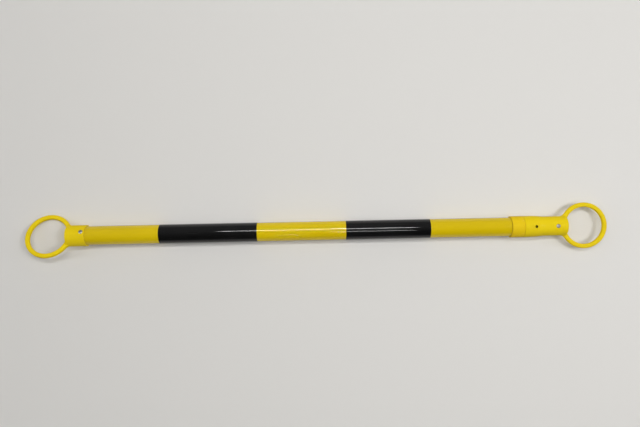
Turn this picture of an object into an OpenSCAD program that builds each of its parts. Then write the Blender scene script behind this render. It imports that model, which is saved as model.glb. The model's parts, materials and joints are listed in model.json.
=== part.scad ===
// Telescopic cone bar: a striped tube with a ring at each end that drops over a traffic cone.
// It lies closed along X on the floor, with +Z up and the origin on the floor midway between the rings.
// The end at -X is fixed to the outer tube. The end at +X slides out on the inner tube and turns with it.

/* [Bar] */
// Distance between the two ring centres with the bar closed
ring_spacing = 1080; // [940:10:1300]
// Outside diameter of the outer tube
tube_d = 38; // [36:0.5:42]
// Wall of the outer tube
tube_wall = 1.4; // [1.2:0.1:1.8]
// Wall of the inner tube
inner_wall = 1.5; // [1.2:0.1:2]
// Radial space between the two tubes
tube_space = 1.1; // [0.9:0.1:1.6]
// Chamfer on the tubes' cut ends
tube_chamfer = 0.3; // [0.2:0.05:0.5]

/* [Stripes] */
// Yellow length between the fixed end's mouth and the first black band
first_yellow = 146; // [60:1:150]
// Length of the first black band
first_black = 196; // [150:1:200]
// Length of the second black band
second_black = 169; // [120:1:200]
// Yellow length between the second black band and the collar
last_yellow = 162; // [60:1:165]
// Thickness of the black film
film_t = 0.2; // [0.15:0.05:0.4]
// Thickness of the glue under the film
film_gap = 0.08; // [0.06:0.01:0.12]

/* [Rings] */
// Bore of each ring, which drops over the top of a cone
ring_bore_d = 74.5; // [66:0.5:86]
// Width of the ring's band, measured outwards
ring_band = 9; // [8:0.5:13]
// Height of the ring's band
ring_h = 8; // [7.5:0.5:11]
// Rounding of the band's edges
ring_round = 2.5; // [1.5:0.25:3.5]
// Radius of the web that blends the ring into its socket
web_r = 11; // [6:0.5:14]
// Height of that web
web_h = 6.5; // [4:0.5:7]

/* [Sockets] */
// Radial fit between a tube and the moulding on it
socket_fit = 0.1; // [0.05:0.01:0.15]
// Wall that closes each socket behind its ring
end_wall = 3; // [2.5:0.25:5]
// Rounding of the closed end's edge
end_round = 1.25; // [1:0.25:2.5]
// Rounding of the open mouths
mouth_round = 0.7; // [0.4:0.1:1]
// Wall of the fixed end's socket
fixed_wall = 2.15; // [2:0.05:3]
// Length of the fixed end's socket
fixed_socket_l = 39; // [34:1:60]
// Distance from the fixed ring's bore to the closed end of its socket
fixed_end_gap = 2.7; // [0.2:0.1:6]
// Length of the sliding end's socket
sliding_socket_l = 87.2; // [80:0.1:110]
// Distance from the sliding ring's bore to the closed end of its socket
sliding_end_gap = 0.25; // [0.2:0.05:6]
// Length of the full-width mouth of the sliding end's socket
sliding_mouth_l = 18; // [12:1:20]
// Length of the shoulder that tapers from that mouth to the neck
shoulder_l = 28; // [20:1:34]
// Wall of the neck of the sliding end's socket
neck_wall = 2.95; // [2.6:0.05:3.5]

/* [Collar] */
// Length of the collar on the open end of the outer tube
collar_l = 25; // [18:1:40]
// Wall of the collar
collar_wall = 2.15; // [2:0.05:3]
// Length of the collar's lip around the inner tube
lip_l = 4; // [3:0.5:6]
// Running clearance between the lip and the inner tube
lip_gap = 0.3; // [0.3:0.05:0.5]
// Gap between the collar and the sliding end with the bar closed
closed_gap = 0.3; // [0.3:0.1:1]
// Radial clearance on each side of the friction ring
friction_gap = 0.1; // [0.05:0.01:0.1]
// Clearance on each face of the friction ring
friction_side_gap = 0.25; // [0.2:0.05:0.4]

/* [Guide] */
// Length of the guide that runs inside the outer tube
guide_l = 60; // [40:1:90]
// Length of each of the guide's two lands
land_l = 12; // [8:1:16]
// Running clearance between the lands and the outer tube
land_gap = 0.3; // [0.3:0.05:0.4]
// Depth of the waist between the lands
waist_depth = 0.7; // [0.4:0.1:0.8]
// Length of the spigot pressed into the inner tube
spigot_l = 22; // [15:1:40]
// Radial fit of that spigot
spigot_fit = 0.05; // [0.02:0.01:0.1]
// Wall of the spigot
spigot_wall = 2; // [1.5:0.1:3]
// Gap between the guide and the fixed rivet with the bar closed
park_gap = 11.4; // [5:0.1:20]
// Gap between the guide and the end of the outer tube with the bar drawn out
stop_gap = 1; // [0.5:0.1:2]

/* [Rivets] */
// Diameter of each blind rivet's shank
rivet_d = 4; // [3.2:0.1:4.4]
// Diameter of the rivet's domed head
rivet_head_d = 8; // [7:0.1:10]
// Height of the rivet's head
rivet_head_h = 1.4; // [1.2:0.1:2]
// Height of the head's straight rim
rivet_rim_h = 0.4; // [0.3:0.1:0.6]
// Diameter of the bulb that the rivet forms inside the tube
bulb_d = 6.2; // [6:0.1:7.5]
// Height of that bulb
bulb_h = 3; // [2.5:0.1:4]
// Chamfer on the bulb's edges
bulb_chamfer = 0.8; // [0.4:0.1:1]
// Diameter of the steel mandrel left in the rivet
mandrel_d = 2.2; // [1.8:0.1:2.6]
// Diameter of the mandrel's head
mandrel_head_d = 3.6; // [3.2:0.1:4.4]
// Height of the mandrel's head
mandrel_head_h = 1.8; // [1.2:0.1:2.4]
// Chamfer on the mandrel's head
mandrel_chamfer = 0.8; // [0.4:0.1:1]
// Radial clearance around the mandrel
mandrel_gap = 0.05; // [0.03:0.01:0.08]
// Depth of the mandrel's broken end below the top of the head
mandrel_depth = 0.8; // [0.5:0.1:1.2]
// Radial clearance of the rivet's shank in its holes
rivet_gap = 0.1; // [0.05:0.01:0.15]
// Clearance between the bulb and the tube's inside
bulb_gap = 0.1; // [0.05:0.01:0.2]
// Depth of the flat seat under the rivet's head
seat_depth = 0.4; // [0.3:0.05:0.6]
// Radial clearance of that seat around the head
seat_gap = 0.3; // [0.2:0.05:0.5]
// Distance from the fixed end's mouth to its rivet
fixed_rivet_in = 7; // [7:0.5:16]
// Distance from the sliding end's mouth to its rivet
sliding_rivet_in = 66; // [56:0.5:70]
// Diameter of the spare hole in the sliding end
spare_hole_d = 5; // [4:0.1:6]
// Distance from the sliding end's mouth to the spare hole
spare_hole_in = 22; // [14:0.5:30]

/* [Hidden] */
$fn = 96;
yellow = [0.87, 0.75, 0.11];
pale_yellow = [0.90, 0.79, 0.14];
black = [0.09, 0.09, 0.09];
grey = [0.75, 0.75, 0.77];
arc_steps = 6;
cut_over = 1;
web_bite = 0.05;
web_root = 3;

// Radii of everything that nests around the bar's axis
tube_r = tube_d / 2;
tube_bore_r = tube_r - tube_wall;
inner_r = tube_bore_r - tube_space;
inner_bore_r = inner_r - inner_wall;
fixed_bore_r = tube_r + socket_fit;
fixed_r = fixed_bore_r + fixed_wall;
collar_bore_r = tube_r + socket_fit;
collar_r = collar_bore_r + collar_wall;
lip_r = inner_r + lip_gap;
sliding_bore_r = inner_r + socket_fit;
neck_r = sliding_bore_r + neck_wall;
land_r = tube_bore_r - land_gap;
spigot_r = inner_bore_r - spigot_fit;

// The friction ring's cord fills the space between the inner tube and the collar's bore
friction_cord_d = collar_bore_r - inner_r - 2 * friction_gap;
friction_mid_r = inner_r + friction_gap + friction_cord_d / 2;
friction_room = friction_cord_d + 2 * friction_side_gap;

// Rings
ring_bore_r = ring_bore_d / 2;
ring_out_r = ring_bore_r + ring_band;
ring_mid_r = ring_bore_r + ring_band / 2;

// Places along the bar, from the fixed end to the sliding end
fixed_ring_x = -ring_spacing / 2;
fixed_end_x = fixed_ring_x + ring_bore_r + fixed_end_gap;
tube_start_x = fixed_end_x + end_wall;
fixed_mouth_x = fixed_end_x + fixed_socket_l;
fixed_rivet_x = fixed_mouth_x - fixed_rivet_in;
sliding_ring_x = ring_spacing / 2;
sliding_end_x = sliding_ring_x - ring_bore_r - sliding_end_gap;
sliding_mouth_x = sliding_end_x - sliding_socket_l;
sliding_rivet_x = sliding_mouth_x + sliding_rivet_in;
spare_hole_x = sliding_mouth_x + spare_hole_in;
collar_end_x = sliding_mouth_x - closed_gap;
collar_start_x = collar_end_x - collar_l;
lip_x = collar_end_x - lip_l;
tube_end_x = lip_x - friction_room;
guide_start_x = fixed_rivet_x + bulb_d / 2 + park_gap;
inner_start_x = guide_start_x + guide_l;
inner_end_x = sliding_end_x - end_wall;
travel = tube_end_x - stop_gap - inner_start_x;
first_band_x = fixed_mouth_x + first_yellow;
second_band_x = collar_start_x - last_yellow - second_black;

// The bar rests on its widest mouldings, and rolls until the fixed ring's rim meets the floor
axis_z = max(fixed_r, collar_r);
rim_reach = ring_out_r - ring_round;
rim_rise = ring_h / 2 - ring_round;
lay_angle = asin((axis_z - ring_round) / norm([rim_reach, rim_rise])) - atan(rim_rise / rim_reach);

// Points on an arc about [x, y]
function arc(x, y, r, from, to) =
    [for (i = [0:arc_steps]) let (a = from + (to - from) * i / arc_steps) [x + r * cos(a), y + r * sin(a)]];

// Outline of a rectangle with rounded corners, centred on the origin
function rounded_box(w, h, r) = concat(
    arc(w / 2 - r, h / 2 - r, r, 0, 90),
    arc(r - w / 2, h / 2 - r, r, 90, 180),
    arc(r - w / 2, r - h / 2, r, 180, 270),
    arc(w / 2 - r, r - h / 2, r, 270, 360));

// Radius of the sliding end's socket at a distance from its mouth: a mouth, an eased shoulder and a neck
function shoulder_share(l) = min(1, max(0, (l - sliding_mouth_l) / shoulder_l));
function sliding_r(l) = neck_r + (collar_r - neck_r) * (1 + cos(180 * shoulder_share(l))) / 2;

// The slide's travel, the axis height and the angle at which the fixed ring lies
echo(travel = travel, axis_z = axis_z, lay_angle = lay_angle);

// Lifts the bar's axis to its height above the floor and rolls what is fixed to the outer tube
module laid(roll = 0) {
    translate([0, 0, axis_z]) rotate([-roll, 0, 0]) children();
}

// A solid turned about the bar's axis from points of [radius, x]
module turned(points) {
    rotate([0, 90, 0]) rotate_extrude() polygon(points);
}

// A plain length of tube about the bar's axis with chamfered ends
module pipe(r, bore_r, x0, x1, chamfer) {
    turned([[bore_r, x0], [r - chamfer, x0], [r, x0 + chamfer],
        [r, x1 - chamfer], [r - chamfer, x1], [bore_r, x1]]);
}

// A cutter along the bar's axis
module axial_cut(r, x0, x1) {
    translate([x0, 0, 0]) rotate([0, 90, 0]) cylinder(r = r, h = x1 - x0);
}

// A cutter down through the top wall at one place along the bar
module top_hole(d, x) {
    translate([x, 0, 0]) cylinder(d = d, h = axis_z + cut_over);
}

// The flat seat under a rivet's head, and the hole for its shank
module rivet_cut(x, seat_z) {
    top_hole(rivet_d + 2 * rivet_gap, x);
    translate([x, 0, seat_z]) cylinder(d = rivet_head_d + 2 * seat_gap, h = rivet_head_h + cut_over);
}

// The ring's band
module ring_band_solid(x) {
    translate([x, 0, 0]) rotate_extrude() translate([ring_mid_r, 0])
        polygon(rounded_box(ring_band, ring_h, ring_round));
}

// Webs in the two corners where the ring's outside meets a socket of radius r lying towards +X
module ring_webs(r) {
    centre_y = r + web_r - web_bite;
    centre_x = sqrt(pow(ring_out_r + web_r - web_bite, 2) - pow(centre_y, 2));
    share = (ring_out_r - web_root) / norm([centre_x, centre_y]);
    root_y = r - web_root;
    for (side = [0, 1]) mirror([0, side, 0])
        linear_extrude(height = web_h, center = true) difference() {
            polygon([[centre_x * share, centre_y * share], [centre_x, centre_y], [centre_x, root_y],
                [ring_out_r - web_root, root_y]]);
            translate([centre_x, centre_y]) circle(r = web_r);
        }
}

// Body of a blind rivet standing on its seat, with the bulb formed under a tube's bore
module rivet_body(seat_z, bore_r) {
    core_r = mandrel_d / 2 + mandrel_gap;
    bulb_r = bulb_d / 2;
    bulb_top = bulb_top_z(bore_r);
    bulb_low = bulb_top - bulb_h;
    dome_h = rivet_head_h - rivet_rim_h;
    dome_r = (pow(rivet_head_d / 2, 2) + pow(dome_h, 2)) / (2 * dome_h);
    dome_z = seat_z + rivet_head_h - dome_r;
    rotate_extrude() polygon(concat(
        [[core_r, bulb_low], [bulb_r - bulb_chamfer, bulb_low], [bulb_r, bulb_low + bulb_chamfer],
            [bulb_r, bulb_top - bulb_chamfer], [bulb_r - bulb_chamfer, bulb_top], [rivet_d / 2, bulb_top],
            [rivet_d / 2, seat_z], [rivet_head_d / 2, seat_z]],
        arc(0, dome_z, dome_r, acos(rivet_head_d / 2 / dome_r), acos(core_r / dome_r))));
}

// Height of the top of a rivet's bulb inside a tube's bore
function bulb_top_z(bore_r) = sqrt(pow(bore_r, 2) - pow(bulb_d / 2, 2)) - bulb_gap;

// Mandrel left in a rivet, with its head under the bulb
module mandrel(seat_z, bore_r) {
    head_z = bulb_top_z(bore_r) - bulb_h;
    rod_top = seat_z + rivet_head_h - mandrel_depth;
    head_r = mandrel_head_d / 2;
    head_low = head_z - mandrel_head_h;
    rotate_extrude() polygon([[0, head_low], [head_r - mandrel_chamfer, head_low],
        [head_r, head_low + mandrel_chamfer], [head_r, head_z], [mandrel_d / 2, head_z],
        [mandrel_d / 2, rod_top], [0, rod_top]]);
}

// Yellow outer tube
module outer_tube() {
    color(yellow) laid(lay_angle) difference() {
        pipe(tube_r, tube_bore_r, tube_start_x, tube_end_x, tube_chamfer);
        top_hole(rivet_d + 2 * rivet_gap, fixed_rivet_x);
    }
}

// Black film wrapped round the outer tube
module black_band(x, l) {
    color(black) laid() turned([[tube_r + film_gap, x], [tube_r + film_gap + film_t, x],
        [tube_r + film_gap + film_t, x + l], [tube_r + film_gap, x + l]]);
}

module black_band_left() {
    black_band(first_band_x, first_black);
}

module black_band_right() {
    black_band(second_band_x, second_black);
}

// Ring and socket moulded in one, riveted on the closed end of the outer tube
module fixed_ring_end() {
    color(pale_yellow) laid(lay_angle) difference() {
        union() {
            ring_band_solid(fixed_ring_x);
            translate([fixed_ring_x, 0, 0]) ring_webs(fixed_r);
            turned(concat([[0, fixed_end_x]],
                arc(fixed_r - end_round, fixed_end_x + end_round, end_round, -90, 0),
                arc(fixed_r - mouth_round, fixed_mouth_x - mouth_round, mouth_round, 0, 90),
                [[0, fixed_mouth_x]]));
        }
        axial_cut(fixed_bore_r, tube_start_x, fixed_mouth_x + cut_over);
        rivet_cut(fixed_rivet_x, fixed_r - seat_depth);
    }
}

module fixed_rivet() {
    color(grey) laid(lay_angle) translate([fixed_rivet_x, 0, 0])
        rivet_body(fixed_r - seat_depth, tube_bore_r);
}

module fixed_rivet_mandrel() {
    color(grey) laid(lay_angle) translate([fixed_rivet_x, 0, 0])
        mandrel(fixed_r - seat_depth, tube_bore_r);
}

// Collar bonded on the open end of the outer tube, with a lip that steadies the inner tube
module collar() {
    color(yellow) laid() turned(concat([[collar_bore_r, collar_start_x]],
        arc(collar_r - mouth_round, collar_start_x + mouth_round, mouth_round, -90, 0),
        arc(collar_r - mouth_round, collar_end_x - mouth_round, mouth_round, 0, 90),
        [[lip_r, collar_end_x], [lip_r, lip_x], [collar_bore_r, lip_x]]));
}

// Rubber ring held between the collar's lip and the end of the outer tube, which grips the inner tube
module friction_ring() {
    color(black) laid() translate([lip_x - friction_room / 2, 0, 0]) rotate([0, 90, 0])
        rotate_extrude() translate([friction_mid_r, 0]) circle(d = friction_cord_d);
}

// Yellow inner tube, which slides out with the second ring
module inner_tube() {
    color(yellow) laid() difference() {
        pipe(inner_r, inner_bore_r, inner_start_x, inner_end_x, tube_chamfer);
        top_hole(rivet_d + 2 * rivet_gap, sliding_rivet_x);
        top_hole(spare_hole_d, spare_hole_x);
    }
}

// Hollow guide on the inner tube's hidden end: two lands run in the outer tube and stop at the collar
module guide_plug() {
    hollow_r = spigot_r - spigot_wall;
    waist_r = land_r - waist_depth;
    color("dimgray") laid() turned([[hollow_r, guide_start_x], [land_r, guide_start_x],
        [land_r, guide_start_x + land_l], [waist_r, guide_start_x + land_l + waist_depth],
        [waist_r, inner_start_x - land_l - waist_depth], [land_r, inner_start_x - land_l],
        [land_r, inner_start_x],
        [spigot_r, inner_start_x], [spigot_r, inner_start_x + spigot_l],
        [hollow_r, inner_start_x + spigot_l]]);
}

// Ring and tapered socket moulded in one, riveted on the inner tube
module sliding_ring_end() {
    steps = 2 * arc_steps;
    shoulder = [for (i = [0:steps]) let (l = sliding_mouth_l + shoulder_l * i / steps)
        [sliding_r(l), sliding_mouth_x + l]];
    color(pale_yellow) laid() difference() {
        union() {
            ring_band_solid(sliding_ring_x);
            translate([sliding_ring_x, 0, 0]) mirror([1, 0, 0]) ring_webs(neck_r);
            turned(concat([[0, sliding_mouth_x]],
                arc(collar_r - mouth_round, sliding_mouth_x + mouth_round, mouth_round, -90, 0), shoulder,
                arc(neck_r - end_round, sliding_end_x - end_round, end_round, 0, 90), [[0, sliding_end_x]]));
        }
        axial_cut(sliding_bore_r, sliding_mouth_x - cut_over, inner_end_x);
        rivet_cut(sliding_rivet_x, neck_r - seat_depth);
        top_hole(spare_hole_d, spare_hole_x);
    }
}

module sliding_rivet() {
    color(grey) laid() translate([sliding_rivet_x, 0, 0]) rivet_body(neck_r - seat_depth, inner_bore_r);
}

module sliding_rivet_mandrel() {
    color(grey) laid() translate([sliding_rivet_x, 0, 0]) mandrel(neck_r - seat_depth, inner_bore_r);
}

outer_tube();
black_band_left();
black_band_right();
fixed_ring_end();
fixed_rivet();
fixed_rivet_mandrel();
collar();
friction_ring();
inner_tube();
guide_plug();
sliding_ring_end();
sliding_rivet();
sliding_rivet_mandrel();
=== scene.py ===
"""Looks of a telescopic cone bar: a yellow tube with black bands and a moulded ring at each end."""

import json
import math
from collections import namedtuple

import bmesh
import bpy
from mathutils import Matrix, Vector


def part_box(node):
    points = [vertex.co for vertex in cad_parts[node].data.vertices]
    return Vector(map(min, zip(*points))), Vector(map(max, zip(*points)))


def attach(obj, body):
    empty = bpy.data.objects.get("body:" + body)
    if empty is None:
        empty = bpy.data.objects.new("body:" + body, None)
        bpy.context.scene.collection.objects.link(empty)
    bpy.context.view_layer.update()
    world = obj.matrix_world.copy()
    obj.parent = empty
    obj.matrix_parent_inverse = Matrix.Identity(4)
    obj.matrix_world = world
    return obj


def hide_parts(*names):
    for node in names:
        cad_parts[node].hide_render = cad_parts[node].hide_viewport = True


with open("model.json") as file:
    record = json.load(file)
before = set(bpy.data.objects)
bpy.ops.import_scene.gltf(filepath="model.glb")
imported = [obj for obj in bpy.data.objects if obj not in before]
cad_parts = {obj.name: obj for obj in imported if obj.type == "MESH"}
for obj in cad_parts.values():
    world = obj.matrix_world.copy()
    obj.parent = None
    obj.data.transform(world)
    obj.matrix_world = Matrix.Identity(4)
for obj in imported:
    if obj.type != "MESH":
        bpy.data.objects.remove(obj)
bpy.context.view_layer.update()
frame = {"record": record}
mounts = {mount["name"]: mount for mount in frame["record"]["mounts"]}

# Places and radii that the frame gives, in metres
TUBE_LOW, TUBE_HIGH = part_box("outer_tube")
INNER_LOW, INNER_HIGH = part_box("inner_tube")
COLLAR_LOW, COLLAR_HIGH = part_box("collar")
FIXED_MOUTH_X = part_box("fixed_ring_end")[1].x
SLIDING_MOUTH_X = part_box("sliding_ring_end")[0].x
FIXED_RIVET_X = sum(corner.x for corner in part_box("fixed_rivet")) / 2
SLIDING_RIVET_X = sum(corner.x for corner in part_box("sliding_rivet")) / 2
FRICTION_LOW, FRICTION_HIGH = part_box("friction_ring")
GUIDE_LOW, GUIDE_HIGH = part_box("guide_plug")
FIXED_RING = Vector(mounts["fixed_ring_bore"]["pos_m"])
SLIDING_RING = Vector(mounts["sliding_ring_bore"]["pos_m"])
SPARE_HOLE_X = mounts["spare_hole"]["pos_m"][0]
SPARE_HOLE_R = mounts["spare_hole"]["dims"]["r_mm"] / 1000
RING_BORE_R = mounts["sliding_ring_bore"]["dims"]["r_mm"] / 1000
RING_OUT_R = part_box("sliding_ring_end")[1].x - SLIDING_RING.x
AXIS_Z = SLIDING_RING.z
TUBE_R = (TUBE_HIGH.y - TUBE_LOW.y) / 2
INNER_R = (INNER_HIGH.y - INNER_LOW.y) / 2
MOUTH_R = (COLLAR_HIGH.y - COLLAR_LOW.y) / 2
FILM_NODES = ("black_band_left", "black_band_right")

# The outer tube and what is riveted to it lie rolled about the bar's axis
FIXED_RING_AXIS = Vector(mounts["fixed_ring_bore"]["axis"])
LAY_ANGLE = math.atan2(FIXED_RING_AXIS.y, FIXED_RING_AXIS.z)

# Walls, fits and roundings, in metres. The shoulder has begun to fall away where the spare hole is
TUBE_WALL = 0.0014
INNER_WALL = 0.0015
TUBE_EDGE = 0.0003
SOCKET_FIT = 0.0001
END_WALL = 0.003
END_ROUND = 0.00125
MOUTH_ROUND = 0.0004
FIXED_END_X = TUBE_LOW.x - END_WALL
SLIDING_END_X = INNER_HIGH.x + END_WALL
NECK_WALL = 0.00295
NECK_R = INNER_R + SOCKET_FIT + NECK_WALL
SLIDING_MOUTH_L = 0.018
SHOULDER_L = 0.028
LIP_L = 0.004
LIP_GAP = 0.0003
RING_H = 0.008
RING_ROUND = 0.0025
WEB_R = 0.011
WEB_H = 0.0065
WEB_ROOT = 0.003
WAIST_DEPTH = 0.0007
LAND_L = 0.012
SPIGOT_FIT = 0.00005
SPIGOT_WALL = 0.002
HOLE_FLARE = 0.00025
HOLE_MARGIN = 0.006
HOLE_SMEAR = 0.0004
SHOULDER_FALL = 0.0002
SPARE_HOLE_TOP = MOUTH_R - SHOULDER_FALL
CUT_OVER = 0.003
BORE_EDGE = TUBE_EDGE / 3
FILM_T = 0.0002
FILM_EDGE = FILM_T / 3
SEAM_ANGLE = math.radians(16)
SEAM_START = math.radians(205)

# Rivets, in metres
RIVET_R = 0.002
RIVET_HEAD_R = 0.004
RIVET_HEAD_H = 0.0014
RIVET_RIM_H = 0.0004
RIVET_CORE_R = 0.00115
RIVET_SEAT = 0.0004
SEAT_GAP = 0.0003
SHANK_GAP = 0.0001
MANDREL_R = 0.0011
MANDREL_DEPTH = 0.0008
MANDREL_CROWN = 0.0002
MANDREL_EDGE = 0.0005
MANDREL_HEAD_R = 0.0018
MANDREL_HEAD_H = 0.0018
BULB_R = 0.0031
BULB_H = 0.003
BULB_EDGE = 0.0008
BULB_GAP = 0.0001

# Fineness of the meshes
ROUND_STEPS = 144
RING_STEPS = 192
SMALL_STEPS = 64
WEB_STEPS = 8
SHOULDER_STEPS = 8
SEAM_STEPS = 6
DOME_STEPS = 10
CORD_STEPS = 24
RIM_STEPS = 4
RING_ROUND_STEPS = 6
LIP_STEPS = 3
FINE_STEPS = 2
MOULD_VOXEL = 0.0006
CORNER_REACH = 0.009
CORNER_ROUNDS = 160
SKIN_ROUNDS = 3
SMOOTH_SHARE = 0.5
HOLD = 0.0004
SHARP_ANGLE = math.radians(32)
MERGE = 1e-7
ON_RIM = MERGE * 10
SLIVER = 2e-6

# Camera over the middle of the bar
CAMERA_PLACE = Vector((0.00338, 0.03011, 1.15215))
CAMERA_TURN = (0.00427, -0.0037, -0.0207)
CAMERA_LENS = 31.5
SENSOR_WIDTH = 36

# Colours of the finishes
TUBE_YELLOW = (0.72, 0.525, 0.003)
TUBE_DEEP = (0.66, 0.475, 0.002)
SCUFF_YELLOW = (0.78, 0.66, 0.16)
# The fixed end is the same plastic as the sliding end, but its yellows are set a little lighter: painted
# light, for the dimmer light at that end
FIXED_YELLOW_PAINTED_LIGHTER = (0.85, 0.635, 0.007)
FIXED_DEEP_PAINTED_LIGHTER = (0.80, 0.585, 0.005)
SLIDING_YELLOW = (0.80, 0.60, 0.006)
SLIDING_DEEP = (0.75, 0.55, 0.005)
COLLAR_YELLOW = (0.79, 0.55, 0.007)
COLLAR_DEEP = (0.74, 0.505, 0.005)
# Brown dirt. Along edges and mouths where parts meet, it also stands for painted shade
DIRT_AND_SHADE = (0.16, 0.12, 0.05)
DUST = (0.25, 0.24, 0.22)
# Near black painted into the spare hole's walls: painted shade for the dark bore seen through the hole
HOLE_PAINTED_SHADE = (0.012, 0.009, 0.004)
FILM_BLACK = (0.0035, 0.0035, 0.0036)
FILM_WORN = (0.0055, 0.0055, 0.0055)
ALUMINIUM = (0.42, 0.415, 0.385)
ALUMINIUM_DULL = (0.28, 0.275, 0.25)
STEEL = (0.24, 0.235, 0.225)
STEEL_DULL = (0.14, 0.13, 0.12)
RUBBER = (0.012, 0.012, 0.012)
RUBBER_TALC = (0.06, 0.06, 0.058)
GUIDE_GREY = (0.17, 0.17, 0.175)
GUIDE_WORN = (0.25, 0.25, 0.255)
FLOOR_PALE = (0.725, 0.71, 0.682)

# Roughness at either end of each finish's texture, and how strongly the plastics and the floor reflect
TUBE_ROUGHNESS = (0.05, 0.085)
FILM_ROUGHNESS = (0.04, 0.065)
MOULD_ROUGHNESS = (0.56, 0.68)
RIVET_ROUGHNESS = (0.36, 0.50)
MANDREL_ROUGHNESS = (0.50, 0.70)
RUBBER_ROUGHNESS = (0.65, 0.85)
GUIDE_ROUGHNESS = (0.50, 0.30)
FLOOR_ROUGHNESS = 0.7
TUBE_GLOSS = 0.36
FILM_GLOSS = 0.36
MOULD_GLOSS = 0.1
FLOOR_GLOSS = 0.2

# Cloudy textures: features a metre, stretch along the bar's axes, detail, and the noise's span that shows
Cloud = namedtuple("Cloud", "scale stretch detail low high")
TUBE_MOTTLE = Cloud(14, (0.35, 1, 1), 3, 0.35, 0.65)
TUBE_HAIRS = Cloud(620, (0.012, 1, 1), 2, 0.66, 0.74)
TUBE_RUBS = Cloud(260, (1, 0.12, 0.12), 2, 0.70, 0.78)
TUBE_SPECKS = Cloud(700, None, 1, 0.77, 0.81)
TUBE_PATCHES = Cloud(180, None, 3, 0.35, 0.6)
TUBE_SMUDGE = Cloud(38, None, 3, 0.35, 0.7)
FILM_CLOUD = Cloud(22, None, 3, 0.35, 0.65)
FILM_HAIRS = Cloud(900, (0.02, 1, 1), 2, 0.66, 0.74)
FILM_RUBS = Cloud(330, (1, 0.1, 0.1), 2, 0.70, 0.78)
FILM_DUST = Cloud(1100, None, 1, 0.75, 0.79)
FILM_SMUDGE = Cloud(45, None, 3, 0.35, 0.7)
MOULD_FLOW = Cloud(26, (0.6, 1, 1), 4, 0.3, 0.7)
MOULD_SCUFFS = Cloud(120, (0.5, 1, 1), 4, 0.64, 0.76)
MOULD_GRIME = Cloud(520, None, 2, 0.70, 0.78)
MOULD_PATCHES = Cloud(150, None, 3, 0.3, 0.6)
MOULD_SHEEN = Cloud(55, None, 3, 0.3, 0.7)
METAL_PATCHES = Cloud(700, None, 3, 0.35, 0.65)
METAL_SCRATCHES = Cloud(2600, (1, 0.08, 1), 2, 0.62, 0.72)
TALC_CLOUD = Cloud(500, None, 3, 0.5, 0.7)
GUIDE_WEAR = Cloud(300, (0.05, 1, 1), 3, 0.4, 0.7)

# Noise of the relief: features a metre, stretch and detail, and the turning rings on the rivets
TUBE_DRAW = (420, (0.006, 1, 1), 2)
TUBE_RIPPLE = (150, None, 1)
FILM_WAVE = (60, (0.4, 1, 1), 1)
FILM_RIPPLE = (260, None, 1)
MOULD_SPARK = (1500, None, 2)
MOULD_SINK = (70, None, 2)
RUBBER_GRAIN = (1800, None, 3)
GUIDE_GRAIN = (900, (1, 0.1, 0.1), 3)
TURNING_RINGS = {"Scale": 900, "Distortion": 2.0, "Detail": 2.0}

# How strongly marks, dust, dirt and painted shade show, and how much they change the roughness
OUTER_TUBE_HAIRS = 0.15
INNER_TUBE_HAIRS = 1.0
TUBE_RUB_SHARE = 0.12
TUBE_MARK_TINT = 0.25
TUBE_SPECK_TINT = 0.35
TUBE_EDGE_DIRT_AND_SHADE_TINT = (0.05, 0.3)
FILM_HAIR_SHARE = 0.5
FILM_RUB_SHARE = 0.4
FILM_MARK_TINT = 0.08
FILM_DUST_TINT = 0.3
SCUFF_SHARE = 0.5
SCUFF_TINT = 0.3
GRIME_TINT = 0.25
MOUTH_DIRT_AND_SHADE_TINT = (0.03, 0.2)
PARTING_TINT = 0.2
TALC_SHARE = 0.5
MARK_DULLING = 0.3
SCUFF_POLISH = 0.12
SCRATCH_DULLING = 0.15

# Widths of the dirt and painted shade along edges and mouths, and of the parting line's core and its slope,
# in metres
TUBE_EDGE_DIRT_AND_SHADE_W = 0.0009
MOUTH_DIRT_AND_SHADE_W = 0.0012
PARTING_W = (0.00008, 0.0003)

# Depth of the relief in the finishes, in metres
DRAW_DEPTH = 0.000003
RIPPLE_DEPTH = 0.000005
SCRATCH_DEPTH = 0.000003
FILM_WAVE_DEPTH = 0.000012
SPARK_DEPTH = 0.00004
SINK_DEPTH = 0.00012
PARTING_DEPTH = 0.00012
TURNING_DEPTH = 0.000012
GRAIN_DEPTH = 0.00003

# Places of the Mix node's two colour inputs and of its colour output among its sockets
MIX_FIRST = 6
MIX_SECOND = 7
MIX_RESULT = 2

# Studio: how bright the room is in front of the bar, behind it and along its walls, and where these pass over
FLOOR_HALF = 6.0
ROOM_FRONT = 0.05
ROOM_BACK = 0.30
ROOM_WALL = 0.38
ROOM_TURN = 0.8
WALL_TOP = (0.05, 0.25)

# A soft arch of light over the bar from end to end, open at the top so that the tube doesn't mirror it
ARCH_LIGHT = 6.4
ARCH_OPENING = (0.38, 0.48)
ARCH_LEAN = 0.155
ARCH_SPREAD = (0.03, 0.14)

# Lamps under the ceiling: place, length along the bar, width and power
LAMPS = (
    ("long_strip", (0.0, 0.78, 2.4), 1.25, 0.06, 18),
    ("short_strip", (0.35, -0.6, 2.4), 0.5, 0.04, 3.9),
    ("side_strip", (-0.24, -2.3, 2.4), 0.19, 0.05, 2.2),
    ("right_panel", (1.55, 0.03, 2.4), 0.6, 0.6, 21),
)


def laid(roll=0.0):
    """From the bar's own frame, with its axis along X, to where the bar lies."""
    return Matrix.Translation((0, 0, AXIS_Z)) @ Matrix.Rotation(-roll, 4, "X")


def draw(bm, points, closed):
    """Draws a line through points, and back to its start where it is closed."""
    line = [bm.verts.new(point) for point in points]
    ends = line[1:] + line[:1] if closed else line[1:]
    for start, end in zip(line, ends):
        bm.edges.new((start, end))


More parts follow.
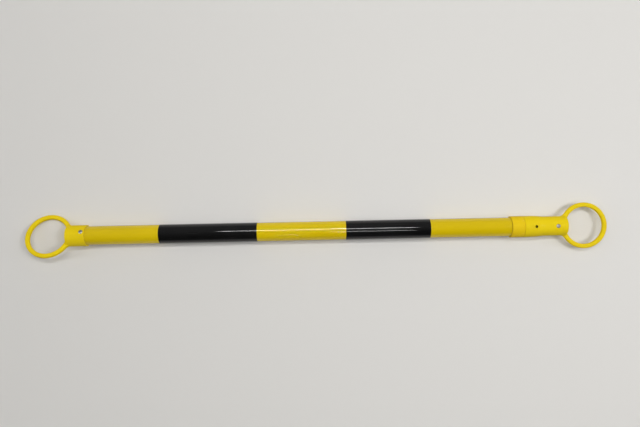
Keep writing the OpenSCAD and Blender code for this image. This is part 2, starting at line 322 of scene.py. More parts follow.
def spin_round(bm, axis, steps):
    """Spins all that is drawn right round an axis through the origin."""
    bmesh.ops.remove_doubles(bm, verts=bm.verts, dist=MERGE)
    bmesh.ops.spin(bm, geom=list(bm.verts) + list(bm.edges), cent=(0, 0, 0), axis=axis, angle=math.tau,
                   steps=steps, use_merge=True)
    bmesh.ops.remove_doubles(bm, verts=bm.verts, dist=MERGE)


def lathe(outline, closed=True):
    """An outline of (x, radius) turned about the bar's axis."""
    bm = bmesh.new()
    draw(bm, [(x, 0, radius) for x, radius in outline], closed)
    spin_round(bm, (1, 0, 0), ROUND_STEPS)
    return bm


def stand(outline, x, closed=False):
    """An outline of (radius, height) turned about an upright that crosses the bar's axis."""
    bm = bmesh.new()
    draw(bm, [(radius, 0, height) for radius, height in outline], closed)
    spin_round(bm, (0, 0, 1), SMALL_STEPS)
    bmesh.ops.translate(bm, verts=bm.verts, vec=(x, 0, 0))
    return bm


def round_rim(bm, x, radius, size, segments=RIM_STEPS):
    """Rounds a circular edge, with a strip on either side that keeps the long faces' shading straight."""
    def on_rim(vert):
        return abs(vert.co.x - x) < ON_RIM and abs(vert.co.yz.length - radius) < ON_RIM
    rim = [edge for edge in bm.edges if on_rim(edge.verts[0]) and on_rim(edge.verts[1])]
    bmesh.ops.bevel(bm, geom=rim, offset=size, offset_type="OFFSET", segments=segments, profile=0.5,
                    affect="EDGES", material=-1)
    for strip in (size + HOLD, -size - HOLD):
        bmesh.ops.bisect_plane(bm, geom=list(bm.verts) + list(bm.edges) + list(bm.faces), dist=MERGE,
                               plane_co=(x + strip, 0, 0), plane_no=(1, 0, 0))


def mesh_object(name, bm):
    """Turns a bmesh into an object of the scene, with its faces pointing outwards."""
    bmesh.ops.remove_doubles(bm, verts=bm.verts, dist=MERGE)
    bmesh.ops.recalc_face_normals(bm, faces=bm.faces)
    mesh = bpy.data.meshes.new(name)
    bm.to_mesh(mesh)
    bm.free()
    piece = bpy.data.objects.new(name, mesh)
    bpy.context.scene.collection.objects.link(piece)
    return piece


def joined(parts):
    """Puts several closed shapes into one bmesh."""
    whole = bmesh.new()
    for part in parts:
        mesh = bpy.data.meshes.new("part")
        part.to_mesh(mesh)
        part.free()
        whole.from_mesh(mesh)
        bpy.data.meshes.remove(mesh)
    return whole


def apply_modifiers(piece):
    """Keeps what a piece's modifiers make and removes them."""
    result = piece.evaluated_get(bpy.context.evaluated_depsgraph_get())
    mesh = bpy.data.meshes.new_from_object(result)
    piece.modifiers.clear()
    old = piece.data
    piece.data = mesh
    bpy.data.meshes.remove(old)


def cut(piece, cutters):
    """Takes closed solids out of a piece, one after another, and closes the slivers that this leaves."""
    for cutter in cutters:
        boolean = piece.modifiers.new("cut", "BOOLEAN")
        boolean.object = cutter
        boolean.operation = "DIFFERENCE"
        boolean.solver = "MANIFOLD"
    apply_modifiers(piece)
    for cutter in cutters:
        mesh = cutter.data
        bpy.data.objects.remove(cutter)
        bpy.data.meshes.remove(mesh)
    bm = bmesh.new()
    bm.from_mesh(piece.data)
    bmesh.ops.remove_doubles(bm, verts=bm.verts, dist=SLIVER)
    bmesh.ops.dissolve_degenerate(bm, edges=bm.edges, dist=SLIVER)
    bmesh.ops.recalc_face_normals(bm, faces=bm.faces)
    bm.to_mesh(piece.data)
    bm.free()


def finish_piece(piece, node, body, material, roll=0.0):
    """Lays a piece where its CAD node is, smooths its shading and lets it ride on a body."""
    piece.data.transform(laid(roll))
    piece.data.shade_smooth()
    piece.data.set_sharp_from_angle(angle=SHARP_ANGLE)
    piece.data.materials.clear()
    piece.data.materials.append(material)
    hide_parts(node)
    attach(piece, body)


def hole_cutter(x, radius, top, flare):
    """An upright cutter from the bar's axis, whose mouth flares where it leaves the surface."""
    over = top + CUT_OVER
    return mesh_object("cutter", stand([
        (0, 0), (radius, 0), (radius, top - flare * 2), (radius + flare, top), (radius + flare, over),
        (0, over)], x))


def rivet_cutter(x, top):
    """Shank hole and flat seat of a rivet in a moulding's top."""
    seat = top - RIVET_SEAT
    shank_r = RIVET_R + SHANK_GAP
    seat_r = RIVET_HEAD_R + SEAT_GAP
    over = top + CUT_OVER
    return mesh_object("cutter", stand([
        (0, 0), (shank_r, 0), (shank_r, seat), (seat_r, seat), (seat_r, over), (0, over)], x))


def shank_cutter(x, top):
    """Plain hole of a rivet's shank in a tube's wall."""
    shank_r = RIVET_R + SHANK_GAP
    over = top + CUT_OVER
    return mesh_object("cutter", stand([(0, 0), (shank_r, 0), (shank_r, over), (0, over)], x))


def bore_cutter(x0, x1, radius):
    """A plain bore along the bar's axis."""
    return mesh_object("cutter", lathe([(x0, 0), (x0, radius), (x1, radius), (x1, 0)], closed=False))


def ring_band(x):
    """The ring: a rounded section spun about the ring's upright axis."""
    bm = bmesh.new()
    half = RING_H / 2
    corners = [bm.verts.new((radius, 0, height)) for radius, height in
               ((RING_BORE_R, -half), (RING_OUT_R, -half), (RING_OUT_R, half), (RING_BORE_R, half))]
    bm.faces.new(corners)
    bmesh.ops.bevel(bm, geom=corners, offset=RING_ROUND, offset_type="OFFSET", segments=RING_ROUND_STEPS,
                    profile=0.5, affect="VERTICES", material=-1)
    bmesh.ops.delete(bm, geom=list(bm.faces), context="FACES_ONLY")
    spin_round(bm, (0, 0, 1), RING_STEPS)
    bmesh.ops.translate(bm, verts=bm.verts, vec=(x, 0, 0))
    return bm


def ring_web(ring_x, socket_r, way, side):
    """A web in one corner between the ring and its socket, which lies towards way along X."""
    bm = bmesh.new()
    centre_y = socket_r + WEB_R
    centre_x = math.sqrt((RING_OUT_R + WEB_R) ** 2 - centre_y ** 2)
    centre = Vector((centre_x, centre_y, 0))
    to_ring = math.atan2(-centre_y, -centre_x)
    on_ring = bm.verts.new(centre * (RING_OUT_R / centre.length))
    bmesh.ops.spin(bm, geom=[on_ring], cent=centre, axis=(0, 0, 1), angle=-math.pi / 2 - to_ring,
                   steps=WEB_STEPS)
    root = RING_OUT_R - WEB_ROOT
    bm.verts.new((centre_x, socket_r - WEB_ROOT, 0))
    bm.verts.new((root, socket_r - WEB_ROOT, 0))
    bm.verts.new(centre * (root / centre.length))
    plate = bm.faces.new(list(bm.verts))
    grown = bmesh.ops.extrude_face_region(bm, geom=[plate])["geom"]
    top = [item for item in grown if isinstance(item, bmesh.types.BMVert)]
    bmesh.ops.translate(bm, verts=top, vec=(0, 0, WEB_H))
    bmesh.ops.translate(bm, verts=bm.verts, vec=(0, 0, -WEB_H / 2))
    bmesh.ops.scale(bm, verts=bm.verts, vec=(way, side, 1))
    bmesh.ops.translate(bm, verts=bm.verts, vec=(ring_x, 0, 0))
    return bm


def fixed_socket():
    """The short socket behind the fixed ring."""
    bm = lathe([(FIXED_END_X, 0), (FIXED_END_X, MOUTH_R), (FIXED_MOUTH_X, MOUTH_R), (FIXED_MOUTH_X, 0)],
               closed=False)
    round_rim(bm, FIXED_END_X, MOUTH_R, END_ROUND)
    round_rim(bm, FIXED_MOUTH_X, MOUTH_R, MOUTH_ROUND)
    return bm


def sliding_socket():
    """The long socket behind the sliding ring: a mouth, a shoulder eased at both ends, and a neck."""
    ease = SHOULDER_L / 4
    slope_start = SLIDING_MOUTH_X + SLIDING_MOUTH_L + ease
    slope_end = slope_start + SHOULDER_L / 2
    bm = lathe([(SLIDING_MOUTH_X, 0), (SLIDING_MOUTH_X, MOUTH_R), (slope_start, MOUTH_R), (slope_end, NECK_R),
                (SLIDING_END_X, NECK_R), (SLIDING_END_X, 0)], closed=False)
    round_rim(bm, slope_start, MOUTH_R, ease, SHOULDER_STEPS)
    round_rim(bm, slope_end, NECK_R, ease, SHOULDER_STEPS)
    round_rim(bm, SLIDING_MOUTH_X, MOUTH_R, MOUTH_ROUND)
    round_rim(bm, SLIDING_END_X, NECK_R, END_ROUND)
    return bm


def smoothed(bm, verts, rounds):
    """Draws each point of a skin towards its neighbours, round after round."""
    for _ in range(rounds):
        bmesh.ops.smooth_vert(bm, verts=verts, factor=SMOOTH_SHARE, use_axis_x=True, use_axis_y=True,
                              use_axis_z=True)


def blend_junction(piece, ring_x, socket_r):
    """Fills the corners between the socket and the ring's outside, then eases the whole skin a little."""
    bm = bmesh.new()
    bm.from_mesh(piece.data)
    ring_mid_r = (RING_BORE_R + RING_OUT_R) / 2

    def near_corner(place):
        from_ring = math.hypot(place.x - ring_x, place.y)
        off_ring = max(from_ring - RING_OUT_R, abs(place.z) - RING_H / 2)
        off_socket = place.yz.length - socket_r
        return from_ring > ring_mid_r and max(abs(off_ring), abs(off_socket)) < CORNER_REACH

    corner = [vert for vert in bm.verts if near_corner(vert.co)]
    before = [(vert.co.copy(), vert.normal.copy()) for vert in corner]
    smoothed(bm, corner, CORNER_ROUNDS)
    for vert, (place, outward) in zip(corner, before):
        vert.co = place + outward * max(0.0, (vert.co - place).dot(outward))
    smoothed(bm, bm.verts, SKIN_ROUNDS)
    bm.to_mesh(piece.data)
    bm.free()


def moulding(name, ring_x, socket, socket_r, way):
    """A ring, its webs and its socket fused into one skin with blended corners."""
    piece = mesh_object(name, joined([ring_band(ring_x), socket, ring_web(ring_x, socket_r, way, 1),
                                      ring_web(ring_x, socket_r, way, -1)]))
    fuse = piece.modifiers.new("fuse", "REMESH")
    fuse.mode = "VOXEL"
    fuse.voxel_size = MOULD_VOXEL
    apply_modifiers(piece)
    blend_junction(piece, ring_x, socket_r)
    return piece


def fixed_ring_end(material):
    """Ring moulding riveted on the closed end of the outer tube."""
    piece = moulding("fixed_ring_moulding", FIXED_RING.x, fixed_socket(), MOUTH_R, 1)
    cut(piece, [bore_cutter(TUBE_LOW.x, FIXED_MOUTH_X + CUT_OVER, TUBE_R + SOCKET_FIT),
                rivet_cutter(FIXED_RIVET_X, MOUTH_R)])
    finish_piece(piece, "fixed_ring_end", "outer", material, LAY_ANGLE)


def sliding_ring_end(material):
    """Ring moulding with a tapered socket, riveted on the inner tube."""
    piece = moulding("sliding_ring_moulding", SLIDING_RING.x, sliding_socket(), NECK_R, -1)
    cut(piece, [bore_cutter(SLIDING_MOUTH_X - CUT_OVER, INNER_HIGH.x, INNER_R + SOCKET_FIT),
                rivet_cutter(SLIDING_RIVET_X, NECK_R),
                hole_cutter(SPARE_HOLE_X, SPARE_HOLE_R, SPARE_HOLE_TOP, HOLE_FLARE)])
    finish_piece(piece, "sliding_ring_end", "inner", material)


def tube(name, low, high, radius, wall, holes):
    """A tube with eased ends, ringed with edges on either side of the places where it gets holes."""
    stops = [low] + [x + side for x in holes for side in (-HOLE_MARGIN, HOLE_MARGIN)] + [high]
    bm = lathe([(x, radius) for x in stops] + [(x, radius - wall) for x in reversed(stops)])
    for x in (low, high):
        round_rim(bm, x, radius, TUBE_EDGE)
    return mesh_object(name, bm)


def outer_tube(material):
    """Extruded tube that carries the film, with its rivet's hole."""
    piece = tube("outer_tube_skin", TUBE_LOW.x, TUBE_HIGH.x, TUBE_R, TUBE_WALL, [FIXED_RIVET_X])
    cut(piece, [shank_cutter(FIXED_RIVET_X, TUBE_R)])
    finish_piece(piece, "outer_tube", "outer", material, LAY_ANGLE)


def inner_tube(material):
    """Sliding tube with its rivet's hole and the spare hole, which shows through the socket."""
    piece = tube("inner_tube_skin", INNER_LOW.x, INNER_HIGH.x, INNER_R, INNER_WALL,
                 [SPARE_HOLE_X, SLIDING_RIVET_X])
    cut(piece, [hole_cutter(SPARE_HOLE_X, SPARE_HOLE_R, INNER_R, HOLE_FLARE),
                shank_cutter(SLIDING_RIVET_X, INNER_R)])
    finish_piece(piece, "inner_tube", "inner", material)


def film_band(node, material):
    """Black film wrapped round the tube, with its overlap underneath."""
    low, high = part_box(node)
    out_r = (high.y - low.y) / 2
    in_r = out_r - FILM_T
    bm = lathe([(low.x, in_r), (low.x, out_r), (high.x, out_r), (high.x, in_r)])
    for x in (low.x, high.x):
        round_rim(bm, x, out_r, FILM_EDGE, FINE_STEPS)
    flap = bmesh.new()
    corners = ((low.x, out_r), (high.x, out_r), (high.x, out_r + FILM_T), (low.x, out_r + FILM_T))
    strip = flap.faces.new([flap.verts.new((x, 0, radius)) for x, radius in corners])
    bmesh.ops.rotate(flap, verts=flap.verts, cent=(0, 0, 0), matrix=Matrix.Rotation(SEAM_START, 3, "X"))
    bmesh.ops.spin(flap, geom=[strip], cent=(0, 0, 0), axis=(1, 0, 0), angle=SEAM_ANGLE, steps=SEAM_STEPS)
    piece = mesh_object(node + "_film", joined([bm, flap]))
    finish_piece(piece, node, "outer", material)


def collar(material):
    """Collar on the open end of the outer tube, with its lip round the inner tube."""
    start, end = COLLAR_LOW.x, COLLAR_HIGH.x
    bore_r = TUBE_R + SOCKET_FIT
    lip_r = INNER_R + LIP_GAP
    bm = lathe([(start, bore_r), (start, MOUTH_R), (end, MOUTH_R), (end, lip_r), (end - LIP_L, lip_r),
                (end - LIP_L, bore_r)])
    for x in (start, end):
        round_rim(bm, x, MOUTH_R, MOUTH_ROUND)
    round_rim(bm, start, bore_r, BORE_EDGE, FINE_STEPS)
    round_rim(bm, end, lip_r, TUBE_EDGE, LIP_STEPS)
    piece = mesh_object("collar_moulding", bm)
    finish_piece(piece, "collar", "outer", material)


def bulb_top(bore_r):
    """Height at which a rivet's bulb sits up inside a tube's bore."""
    return math.sqrt(bore_r ** 2 - BULB_R ** 2) - BULB_GAP


def rivet_body(x, top, bore_r):
    """A blind rivet: the bulb inside the tube, the shank and the head, whose dome is a swept arc."""
    bm = bmesh.new()
    seat = top - RIVET_SEAT
    high = bulb_top(bore_r)
    low = high - BULB_H
    dome_h = RIVET_HEAD_H - RIVET_RIM_H
    dome_r = (RIVET_HEAD_R ** 2 + dome_h ** 2) / (2 * dome_h)
    dome_z = seat + RIVET_HEAD_H - dome_r
    crest = dome_z + math.sqrt(dome_r ** 2 - RIVET_CORE_R ** 2)
    sweep = math.asin(RIVET_HEAD_R / dome_r) - math.asin(RIVET_CORE_R / dome_r)
    rim = bm.verts.new((RIVET_HEAD_R, 0, seat + RIVET_RIM_H))
    bmesh.ops.spin(bm, geom=[rim], cent=(0, 0, dome_z), axis=(0, 1, 0), angle=-sweep, steps=DOME_STEPS)
    outline = [(RIVET_CORE_R, crest), (RIVET_CORE_R, low), (BULB_R - BULB_EDGE, low),
               (BULB_R, low + BULB_EDGE), (BULB_R, high - BULB_EDGE), (BULB_R - BULB_EDGE, high),
               (RIVET_R, high), (RIVET_R, seat), (RIVET_HEAD_R, seat), (RIVET_HEAD_R, seat + RIVET_RIM_H)]
    draw(bm, [(radius, 0, height) for radius, height in outline], closed=False)
    spin_round(bm, (0, 0, 1), SMALL_STEPS)
    bmesh.ops.translate(bm, verts=bm.verts, vec=(x, 0, 0))
    return bm


def rivet_mandrel(x, top, bore_r):
    """The mandrel that stays in a rivet, with its broken end a little crowned."""
    head_top = bulb_top(bore_r) - BULB_H
    head_low = head_top - MANDREL_HEAD_H
    broken = top - RIVET_SEAT + RIVET_HEAD_H - MANDREL_DEPTH
    return stand([(0, head_low), (MANDREL_HEAD_R - BULB_EDGE, head_low),
                  (MANDREL_HEAD_R, head_low + BULB_EDGE), (MANDREL_HEAD_R, head_top), (MANDREL_R, head_top),
                  (MANDREL_R, broken - MANDREL_CROWN), (MANDREL_R - MANDREL_EDGE, broken), (0, broken)], x)


def rivet(name, x, top, bore_r, body, metals, roll=0.0):
    """A blind rivet and the mandrel left in it."""
    aluminium, steel = metals
    head = mesh_object(name + "_turned", rivet_body(x, top, bore_r))
    finish_piece(head, name, body, aluminium, roll)
    mandrel = mesh_object(name + "_mandrel_turned", rivet_mandrel(x, top, bore_r))
    finish_piece(mandrel, name + "_mandrel", body, steel, roll)


def friction_ring(material):
    """Rubber ring inside the collar that holds the inner tube where it is set."""
    bm = bmesh.new()
    cord_r = (FRICTION_HIGH.x - FRICTION_LOW.x) / 2
    mid_r = (FRICTION_HIGH.y - FRICTION_LOW.y) / 2 - cord_r
    bmesh.ops.create_circle(bm, segments=CORD_STEPS, radius=cord_r)
    bmesh.ops.rotate(bm, verts=bm.verts, cent=(0, 0, 0), matrix=Matrix.Rotation(math.pi / 2, 3, "X"))
    bmesh.ops.translate(bm, verts=bm.verts, vec=((FRICTION_LOW.x + FRICTION_HIGH.x) / 2, 0, mid_r))
    spin_round(bm, (1, 0, 0), ROUND_STEPS)
    finish_piece(mesh_object("friction_ring_rubber", bm), "friction_ring", "grip", material)


def guide_plug(material):
    """Hollow guide on the inner tube's hidden end, with two lands that run in the outer tube."""
    land_r = (GUIDE_HIGH.y - GUIDE_LOW.y) / 2
    waist_r = land_r - WAIST_DEPTH
    spigot_r = INNER_R - INNER_WALL - SPIGOT_FIT
    hollow_r = spigot_r - SPIGOT_WALL
    start, shoulder, end = GUIDE_LOW.x, INNER_LOW.x, GUIDE_HIGH.x
    bm = lathe([(start, hollow_r), (start, land_r), (start + LAND_L, land_r),
                (start + LAND_L + WAIST_DEPTH, waist_r), (shoulder - LAND_L - WAIST_DEPTH, waist_r),
                (shoulder - LAND_L, land_r), (shoulder, land_r), (shoulder, spigot_r), (end, spigot_r),
                (end, hollow_r)])
    for x in (start, shoulder):
        round_rim(bm, x, land_r, TUBE_EDGE)
    finish_piece(mesh_object("guide_plug_turned", bm), "guide_plug", "inner", material)


def add_node(tree, kind, inputs=None, **settings):
    """Adds a shader node. An input is given a value, or the output that it is linked to."""
    node = tree.nodes.new(kind)
    for key, value in settings.items():
        setattr(node, key, value)
    for key, value in (inputs or {}).items():
        if isinstance(value, bpy.types.NodeSocket):
            tree.links.new(value, node.inputs[key])
        else:
            node.inputs[key].default_value = value
    return node


def surface(name, roll=0.0):
    """A new material: its node tree, its shader and the place on the bar in the bar's own frame."""
    material = bpy.data.materials.new(name)
    material.use_nodes = True
    tree = material.node_tree
    where = add_node(tree, "ShaderNodeTexCoord").outputs["Object"]
    frame_turn = {"Vector": where, "Location": (0, 0, AXIS_Z), "Rotation": (-roll, 0, 0)}
    bar = add_node(tree, "ShaderNodeMapping", frame_turn, vector_type="TEXTURE").outputs["Vector"]
    return material, tree, tree.nodes["Principled BSDF"], bar


def noise(tree, place, scale, stretch, detail):
    """Noise with so many features a metre, stretched along the bar's axes where a stretch is given."""
    if stretch is not None:
        place = add_node(tree, "ShaderNodeMapping", {"Vector": place, "Scale": stretch}).outputs["Vector"]
    inputs = {"Vector": place, "Scale": scale, "Detail": detail}
    return add_node(tree, "ShaderNodeTexNoise", inputs).outputs["Fac"]


def between(tree, value, low, high, to_low=0.0, to_high=1.0):
    """Carries a value smoothly from one range to another."""
    return add_node(tree, "ShaderNodeMapRange",
                    {"Value": value, "From Min": low, "From Max": high, "To Min": to_low, "To Max": to_high},
                    interpolation_type="SMOOTHSTEP").outputs["Result"]


def cloud(tree, place, texture, to_low=0.0, to_high=1.0):
    """A cloudy texture, carried to the range in which it is used."""
    value = noise(tree, place, texture.scale, texture.stretch, texture.detail)
    return between(tree, value, texture.low, texture.high, to_low, to_high)


def worked(tree, operation, first, second=0.0):
    """The result of one sum."""
    return add_node(tree, "ShaderNodeMath", {0: first, 1: second}, operation=operation).outputs[0]


def blend(tree, share, first, second):
    """One colour passing into another. A colour is three numbers or an output."""
    def colour(value):
        return value if isinstance(value, bpy.types.NodeSocket) else (*value, 1)
    mix = add_node(tree, "ShaderNodeMix", {"Factor": share}, data_type="RGBA")
    for index, value in ((MIX_FIRST, colour(first)), (MIX_SECOND, colour(second))):
        if isinstance(value, bpy.types.NodeSocket):
            tree.links.new(value, mix.inputs[index])
        else:
            mix.inputs[index].default_value = value
    return mix.outputs[MIX_RESULT]


def raised(tree, height, depth, under=None):
    """The normal of a surface raised by a height of so many metres, over another such surface."""
    inputs = {"Height": height, "Distance": depth}
    if under is not None:
        inputs["Normal"] = under
    return add_node(tree, "ShaderNodeBump", inputs).outputs["Normal"]


def joined_to(tree, shader, **outputs):
    """Links outputs to the shader's inputs, named in lower case."""
    names = {"colour": "Base Color", "roughness": "Roughness", "normal": "Normal"}
    for key, output in outputs.items():
        tree.links.new(output, shader.inputs[names[key]])


def edge_mask(tree, bar, edges, width):
    """Where the surface lies within a width of any of some places along the bar."""
    x = add_node(tree, "ShaderNodeSeparateXYZ", {"Vector": bar}).outputs["X"]
    mask = None
    for edge in edges:
        off = worked(tree, "ABSOLUTE", worked(tree, "SUBTRACT", x, edge))
        near = between(tree, off, 0, width, 1, 0)
        mask = near if mask is None else worked(tree, "MAXIMUM", mask, near)
    return mask


def hole_mask(tree, bar, x, radius):
    """Where the surface lies in or just around a hole in the bar's top."""
    about = add_node(tree, "ShaderNodeMapping", {"Vector": bar, "Location": (-x, 0, 0)}).outputs["Vector"]
    along, across, up = add_node(tree, "ShaderNodeSeparateXYZ", {"Vector": about}).outputs
    flat = add_node(tree, "ShaderNodeCombineXYZ", {"X": along, "Y": across}).outputs["Vector"]
    off = add_node(tree, "ShaderNodeVectorMath", {0: flat}, operation="LENGTH").outputs["Value"]
    inside = between(tree, off, radius, radius + HOLE_SMEAR, 1, 0)
    return worked(tree, "MULTIPLY", inside, between(tree, up, 0, radius))


def tube_yellow(name, roll, edges, hair_share, hole_x=None):
    """Glossy extruded plastic: faint draw lines and ripples, hairline scratches, dirt with painted shade
    along the edges where other parts meet it, and painted shade in the spare hole where one is given.
    """
    material, tree, shader, bar = surface(name, roll)
    mottle = cloud(tree, bar, TUBE_MOTTLE)
    colour = blend(tree, mottle, TUBE_YELLOW, TUBE_DEEP)
    hairs = cloud(tree, bar, TUBE_HAIRS, 0, hair_share)
    rubs = cloud(tree, bar, TUBE_RUBS, 0, TUBE_RUB_SHARE)
    marks = worked(tree, "MAXIMUM", hairs, rubs)
    colour = blend(tree, worked(tree, "MULTIPLY", marks, TUBE_MARK_TINT), colour, SCUFF_YELLOW)
    specks = cloud(tree, bar, TUBE_SPECKS, 0, TUBE_SPECK_TINT)
    colour = blend(tree, specks, colour, DIRT_AND_SHADE)
    # Dirt and painted shade: the tube is darkened along the edges where the film, the socket and the collar
    # meet it
    patchy = cloud(tree, bar, TUBE_PATCHES, *TUBE_EDGE_DIRT_AND_SHADE_TINT)
    edge_dirt_and_shade = worked(tree, "MULTIPLY", edge_mask(tree, bar, edges, TUBE_EDGE_DIRT_AND_SHADE_W), patchy)
    colour = blend(tree, edge_dirt_and_shade, colour, DIRT_AND_SHADE)
    # Painted shade: the spare hole's walls are coloured near black, as the bore behind them is dark
    if hole_x is not None:
        colour = blend(tree, hole_mask(tree, bar, hole_x, SPARE_HOLE_R), colour, HOLE_PAINTED_SHADE)
    smudge = cloud(tree, bar, TUBE_SMUDGE, *TUBE_ROUGHNESS)
    dulled = worked(tree, "MULTIPLY", worked(tree, "MAXIMUM", marks, edge_dirt_and_shade), MARK_DULLING)
    normal = raised(tree, noise(tree, bar, *TUBE_DRAW), DRAW_DEPTH)
    normal = raised(tree, noise(tree, bar, *TUBE_RIPPLE), RIPPLE_DEPTH, normal)
    normal = raised(tree, marks, -SCRATCH_DEPTH, normal)
    shader.inputs["Specular IOR Level"].default_value = TUBE_GLOSS
    joined_to(tree, shader, colour=colour, roughness=worked(tree, "ADD", smudge, dulled), normal=normal)
    return material


def film_black():
    """Glossy black film: slight waviness, fine scratches and a little dust."""
    material, tree, shader, bar = surface("film_black")
    colour = blend(tree, cloud(tree, bar, FILM_CLOUD), FILM_BLACK, FILM_WORN)
    hairs = cloud(tree, bar, FILM_HAIRS, 0, FILM_HAIR_SHARE)
    rubs = cloud(tree, bar, FILM_RUBS, 0, FILM_RUB_SHARE)
    marks = worked(tree, "MAXIMUM", hairs, rubs)
    dust = cloud(tree, bar, FILM_DUST, 0, FILM_DUST_TINT)
    colour = blend(tree, worked(tree, "MULTIPLY", marks, FILM_MARK_TINT), colour, DUST)
    colour = blend(tree, dust, colour, DUST)
    smudge = cloud(tree, bar, FILM_SMUDGE, *FILM_ROUGHNESS)
    dulled = worked(tree, "MULTIPLY", worked(tree, "MAXIMUM", marks, dust), MARK_DULLING)
    normal = raised(tree, noise(tree, bar, *FILM_WAVE), FILM_WAVE_DEPTH)
    normal = raised(tree, noise(tree, bar, *FILM_RIPPLE), SCRATCH_DEPTH, normal)
    normal = raised(tree, marks, -SCRATCH_DEPTH, normal)
    shader.inputs["Specular IOR Level"].default_value = FILM_GLOSS
    joined_to(tree, shader, colour=colour, roughness=worked(tree, "ADD", smudge, dulled), normal=normal)
    return material


def moulded_yellow(name, roll, first, second, mouth_x, hole_x=None):
    """Satin moulded plastic: fine texture, slight sinking, a parting line in the ring's plane, scuffs, dirt
    with painted shade at the mouth, and painted shade in the spare hole where one is given.
    """
    material, tree, shader, bar = surface(name, roll)
    flow = cloud(tree, bar, MOULD_FLOW)
    colour = blend(tree, flow, first, second)
    scuffs = cloud(tree, bar, MOULD_SCUFFS, 0, SCUFF_SHARE)
    colour = blend(tree, worked(tree, "MULTIPLY", scuffs, SCUFF_TINT), colour, SCUFF_YELLOW)
    grime = cloud(tree, bar, MOULD_GRIME, 0, GRIME_TINT)
    colour = blend(tree, grime, colour, DIRT_AND_SHADE)
    # Dirt and painted shade: the moulding is darkened at its mouth, where the tube or the collar meets it
    patchy = cloud(tree, bar, MOULD_PATCHES, *MOUTH_DIRT_AND_SHADE_TINT)
    mouth_dirt_and_shade = worked(tree, "MULTIPLY", edge_mask(tree, bar, [mouth_x], MOUTH_DIRT_AND_SHADE_W), patchy)
    colour = blend(tree, mouth_dirt_and_shade, colour, DIRT_AND_SHADE)
    height = add_node(tree, "ShaderNodeSeparateXYZ", {"Vector": bar}).outputs["Z"]
    parting = between(tree, worked(tree, "ABSOLUTE", height), *PARTING_W, 1, 0)
    colour = blend(tree, worked(tree, "MULTIPLY", parting, PARTING_TINT), colour, SCUFF_YELLOW)
    # Painted shade: the spare hole's walls are coloured near black, as the bore behind them is dark
    if hole_x is not None:
        colour = blend(tree, hole_mask(tree, bar, hole_x, SPARE_HOLE_R), colour, HOLE_PAINTED_SHADE)
    sheen = cloud(tree, bar, MOULD_SHEEN, *MOULD_ROUGHNESS)
    polished = worked(tree, "MULTIPLY", scuffs, SCUFF_POLISH)
    normal = raised(tree, noise(tree, bar, *MOULD_SPARK), SPARK_DEPTH)
    normal = raised(tree, noise(tree, bar, *MOULD_SINK), SINK_DEPTH, normal)
    normal = raised(tree, parting, PARTING_DEPTH, normal)
    shader.inputs["Specular IOR Level"].default_value = MOULD_GLOSS
    joined_to(tree, shader, colour=colour, roughness=worked(tree, "SUBTRACT", sheen, polished), normal=normal)
    return material


def turned_metal(name, x, roll, first, second, roughness):
    """Bare metal of a rivet: turning rings about its own axis, dull patches and fine scratches."""
    material, tree, shader, bar = surface(name, roll)
    own = add_node(tree, "ShaderNodeMapping", {"Vector": bar, "Location": (-x, 0, 0)}).outputs["Vector"]
    patches = cloud(tree, own, METAL_PATCHES)
    rings = add_node(tree, "ShaderNodeTexWave", {"Vector": own, **TURNING_RINGS}, wave_type="RINGS",
                     rings_direction="Z").outputs["Fac"]
    scratches = cloud(tree, own, METAL_SCRATCHES)
    dulled = worked(tree, "MULTIPLY", scratches, SCRATCH_DULLING)
    normal = raised(tree, rings, TURNING_DEPTH)
    normal = raised(tree, scratches, -SCRATCH_DEPTH, normal)
    shader.inputs["Metallic"].default_value = 1.0
    joined_to(tree, shader, colour=blend(tree, patches, first, second),
              roughness=worked(tree, "ADD", between(tree, patches, 0, 1, *roughness), dulled), normal=normal)
    return material


def rubber_black():
    """Matt rubber with a little talc."""
    material, tree, shader, bar = surface("rubber_black")
    talc = cloud(tree, bar, TALC_CLOUD, 0, TALC_SHARE)
    joined_to(tree, shader, colour=blend(tree, talc, RUBBER, RUBBER_TALC),
              roughness=between(tree, talc, 0, TALC_SHARE, *RUBBER_ROUGHNESS),
              normal=raised(tree, noise(tree, bar, *RUBBER_GRAIN), GRAIN_DEPTH))
    return material


def guide_grey():
    """Turned grey plastic, polished along the lands by the slide."""
    material, tree, shader, bar = surface("guide_grey")
    wear = cloud(tree, bar, GUIDE_WEAR)
    joined_to(tree, shader, colour=blend(tree, wear, GUIDE_GREY, GUIDE_WORN),
              roughness=between(tree, wear, 0, 1, *GUIDE_ROUGHNESS),
              normal=raised(tree, noise(tree, bar, *GUIDE_GRAIN), GRAIN_DEPTH))
    return material


def add_floor():
    """A wide, plain, pale floor."""
    bm = bmesh.new()
    bmesh.ops.create_grid(bm, x_segments=1, y_segments=1, size=FLOOR_HALF)
    floor = mesh_object("floor", bm)
    material = bpy.data.materials.new("floor_pale")
    material.use_nodes = True
    shader = material.node_tree.nodes["Principled BSDF"]
    shader.inputs["Base Color"].default_value = (*FLOOR_PALE, 1)
    shader.inputs["Roughness"].default_value = FLOOR_ROUGHNESS
    shader.inputs["Specular IOR Level"].default_value = FLOOR_GLOSS
    floor.data.materials.append(material)


def add_lamp(name, place, length, width, power):
    """A rectangular lamp that shines straight down, with its length along the bar."""
    light = bpy.data.lights.new(name, "AREA")
    light.shape = "RECTANGLE"
    light.size = length
    light.size_y = width
    light.energy = power
    lamp = bpy.data.objects.new(name, light)
    lamp.location = place
    lamp.visible_camera = False
    bpy.context.scene.collection.objects.link(lamp)


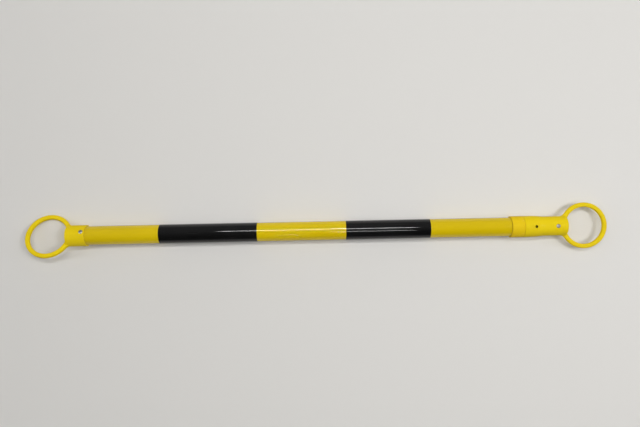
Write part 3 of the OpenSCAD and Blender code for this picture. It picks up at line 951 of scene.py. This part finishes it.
def add_world():
    """A dim room, lighter behind the bar than in front of it, with pale walls and an arch of soft light."""
    world = bpy.data.worlds.new("room")
    world.use_nodes = True
    tree = world.node_tree
    room = tree.nodes["Background"]
    room.inputs["Color"].default_value = (1, 1, 1, 1)
    way = add_node(tree, "ShaderNodeTexCoord").outputs["Generated"]
    along, across, up = add_node(tree, "ShaderNodeSeparateXYZ", {"Vector": way}).outputs
    ceiling = between(tree, across, -ROOM_TURN, ROOM_TURN, ROOM_FRONT, ROOM_BACK)
    lean = worked(tree, "SUBTRACT", worked(tree, "DIVIDE", across, up), ARCH_LEAN)
    arch_ends = between(tree, worked(tree, "ABSOLUTE", along), *ARCH_OPENING, 0, ARCH_LIGHT)
    arch_width = between(tree, worked(tree, "ABSOLUTE", lean), *ARCH_SPREAD, 1, 0)
    arch = worked(tree, "MULTIPLY", arch_ends, arch_width)
    above = worked(tree, "MULTIPLY", worked(tree, "ADD", ceiling, arch), between(tree, up, *WALL_TOP))
    wall = between(tree, up, *WALL_TOP, ROOM_WALL, 0)
    tree.links.new(worked(tree, "ADD", above, wall), room.inputs["Strength"])
    bpy.context.scene.world = world


def add_camera():
    """The camera over the bar."""
    camera = bpy.data.objects.new("camera", bpy.data.cameras.new("camera"))
    camera.location = CAMERA_PLACE
    camera.rotation_euler = CAMERA_TURN
    camera.data.lens = CAMERA_LENS
    camera.data.sensor_width = SENSOR_WIDTH
    bpy.context.scene.collection.objects.link(camera)
    bpy.context.scene.camera = camera


def build_bar():
    """Makes every piece with its finish."""
    film_edges = [corner.x for node in FILM_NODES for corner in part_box(node)]
    tube_edges = film_edges + [FIXED_MOUTH_X, COLLAR_LOW.x]
    outer_tube(tube_yellow("tube_yellow", LAY_ANGLE, tube_edges, OUTER_TUBE_HAIRS))
    inner_tube(tube_yellow("inner_tube_yellow", 0.0, [INNER_HIGH.x], INNER_TUBE_HAIRS, SPARE_HOLE_X))
    film = film_black()
    for node in FILM_NODES:
        film_band(node, film)
    # The fixed end's lighter yellows are painted light
    fixed_ring_end(moulded_yellow("fixed_end_painted_lighter_yellow", LAY_ANGLE, FIXED_YELLOW_PAINTED_LIGHTER, FIXED_DEEP_PAINTED_LIGHTER, FIXED_MOUTH_X))
    sliding_ring_end(moulded_yellow("sliding_end_yellow", 0.0, SLIDING_YELLOW, SLIDING_DEEP, SLIDING_MOUTH_X,
                                    SPARE_HOLE_X))
    collar(moulded_yellow("collar_yellow", 0.0, COLLAR_YELLOW, COLLAR_DEEP, COLLAR_LOW.x))
    for name, x, top, bore_r, body, roll in (
            ("fixed_rivet", FIXED_RIVET_X, MOUTH_R, TUBE_R - TUBE_WALL, "outer", LAY_ANGLE),
            ("sliding_rivet", SLIDING_RIVET_X, NECK_R, INNER_R - INNER_WALL, "inner", 0.0)):
        metals = (turned_metal(name + "_aluminium", x, roll, ALUMINIUM, ALUMINIUM_DULL, RIVET_ROUGHNESS),
                  turned_metal(name + "_steel", x, roll, STEEL, STEEL_DULL, MANDREL_ROUGHNESS))
        rivet(name, x, top, bore_r, body, metals, roll)
    friction_ring(rubber_black())
    guide_plug(guide_grey())


def build_studio():
    """Floor, room, lamps and camera."""
    add_floor()
    add_world()
    for lamp in LAMPS:
        add_lamp(*lamp)
    add_camera()
    bpy.context.scene.view_settings.view_transform = "Standard"


build_bar()
build_studio()
